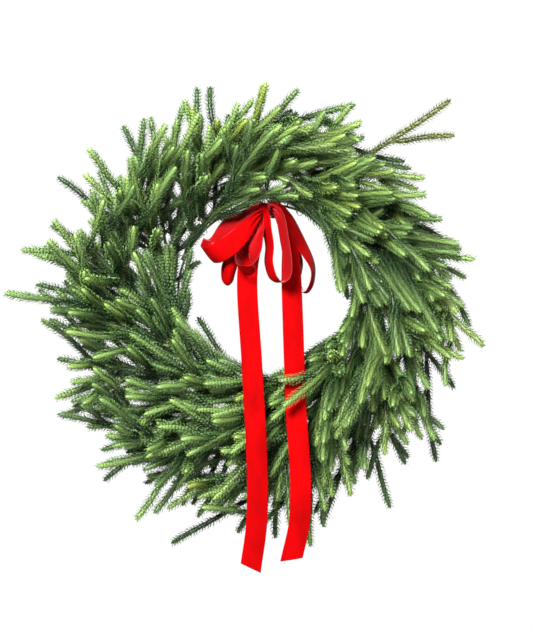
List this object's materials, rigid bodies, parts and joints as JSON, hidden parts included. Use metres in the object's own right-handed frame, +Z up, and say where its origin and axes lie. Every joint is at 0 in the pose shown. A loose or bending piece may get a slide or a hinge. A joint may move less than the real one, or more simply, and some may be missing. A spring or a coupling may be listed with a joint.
{
  "type": "evergreen wreath",
  "caption": "Round wall wreath of needle-clad evergreen sprigs wired clockwise to a two-rail ring, with a velvet bow and two long ribbon tails.",
  "frame": {"origin": "where the wall hook holds the hanging loop, at the inside of the loop's top", "axes": "+Z up, -Y is the front that faces the viewer, +Y towards the wall, +X to the viewer's right"},
  "size_m": [0.5751, 0.1499, 0.6036],
  "materials": {
    "green_needles": "waxy, fresh green needles, paler at the tips",
    "olive_needles": "waxy, olive needles on a dry twig",
    "dark_wire": "dark green lacquered steel wire, satin",
    "red_velvet": "soft red velvet pile with a pale sheen at the edges"
  },
  "bodies": {
    "root": {"binding_wire": "dark_wire", "hanging_loop": "dark_wire", "ribbon_knot": "red_velvet", "ribbon_loop_left_inner": "red_velvet", "ribbon_loop_left_lower": "red_velvet", "ribbon_loop_left_outer": "red_velvet", "ribbon_loop_right_inner": "red_velvet", "ribbon_loop_right_outer": "red_velvet", "ribbon_tail_left": "red_velvet", "ribbon_tail_right": "red_velvet", "sprig_front_01": "green_needles", "sprig_front_02": "green_needles", "sprig_front_03": "green_needles", "sprig_front_04": "green_needles", "sprig_front_05": "green_needles", "sprig_front_06": "green_needles", "sprig_front_07": "green_needles", "sprig_front_08": "green_needles", "sprig_front_09": "green_needles", "sprig_front_10": "green_needles", "sprig_front_11": "green_needles", "sprig_front_12": "green_needles", "sprig_front_13": "green_needles", "sprig_front_14": "green_needles", "sprig_front_15": "green_needles", "sprig_front_16": "green_needles", "sprig_inner_01": "green_needles", "sprig_inner_02": "green_needles", "sprig_inner_04": "green_needles", "sprig_inner_05": "green_needles", "sprig_inner_06": "green_needles", "sprig_inner_07": "green_needles", "sprig_inner_08": "green_needles", "sprig_inner_09": "green_needles", "sprig_inner_10": "green_needles", "sprig_inner_13": "green_needles", "sprig_inner_14": "green_needles", "sprig_inner_16": "green_needles", "sprig_outer_01": "green_needles", "sprig_outer_02": "green_needles", "sprig_outer_03": "green_needles", "sprig_outer_04": "green_needles", "sprig_outer_05": "green_needles", "sprig_outer_06": "green_needles", "sprig_outer_07": "green_needles", "sprig_outer_08": "green_needles", "sprig_outer_09": "green_needles", "sprig_outer_10": "green_needles", "sprig_outer_11": "green_needles", "sprig_outer_12": "green_needles", "sprig_outer_13": "green_needles", "sprig_outer_14": "green_needles", "sprig_outer_15": "green_needles", "sprig_outer_16": "green_needles", "sprig_over_tail": "green_needles", "sprig_stray": "olive_needles", "wire_frame": "dark_wire"}
  },
  "joints": []
}
